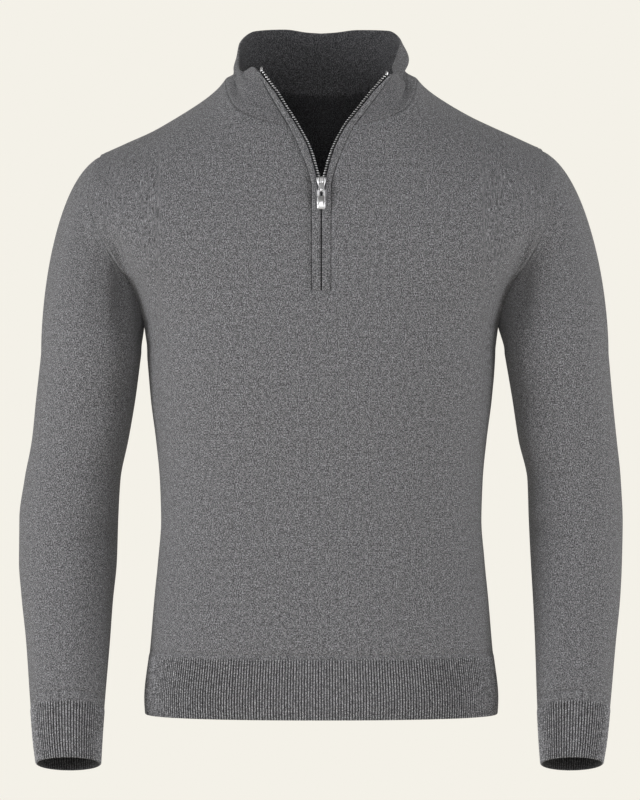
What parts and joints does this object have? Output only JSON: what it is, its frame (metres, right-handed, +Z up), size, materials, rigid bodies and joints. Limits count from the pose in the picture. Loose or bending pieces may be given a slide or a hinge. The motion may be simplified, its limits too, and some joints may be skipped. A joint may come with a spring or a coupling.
{
  "type": "quarter zip sweater",
  "caption": "Long-sleeved knitted sweater in worn form, hollow, with a stand collar, a half-open quarter zip, ribbed cuffs and a ribbed hem.",
  "frame": {"origin": "middle of the neck, level with the two high shoulder points, where the sweater hangs on the wearer", "axes": "+Z up towards the collar, -Y out of the front, +X towards the wearer's left, which is the right of the picture"},
  "size_m": [0.6402, 0.2544, 0.7891],
  "materials": {
    "knit": "heathered mid grey fine jersey knit, soft and matt",
    "rib": "heathered grey ribbed knit, soft and matt",
    "zip_tape": "dark woven tape",
    "zip_metal": "bright plated zip metal"
  },
  "bodies": {
    "garment": {"front_panel": "knit", "back_panel": "knit", "hem_front": "rib", "hem_back": "rib", "sleeve_left": "knit", "sleeve_right": "knit", "cuff_left": "rib", "cuff_right": "rib", "collar": "knit", "zip_band_left": "knit", "zip_band_right": "knit", "zip_tape_left": "zip_tape", "zip_tape_right": "zip_tape", "zip_slider": "zip_metal"},
    "pull_tab": {"zip_pull": "zip_metal"}
  },
  "joints": [
    {"name": "pull_swing", "type": "hinge", "parent": "garment", "child": "pull_tab", "pos_m": [0, -0.12313, -0.12169], "axis": [-1, 0, 0], "range_deg": [0, 150]}
  ]
}
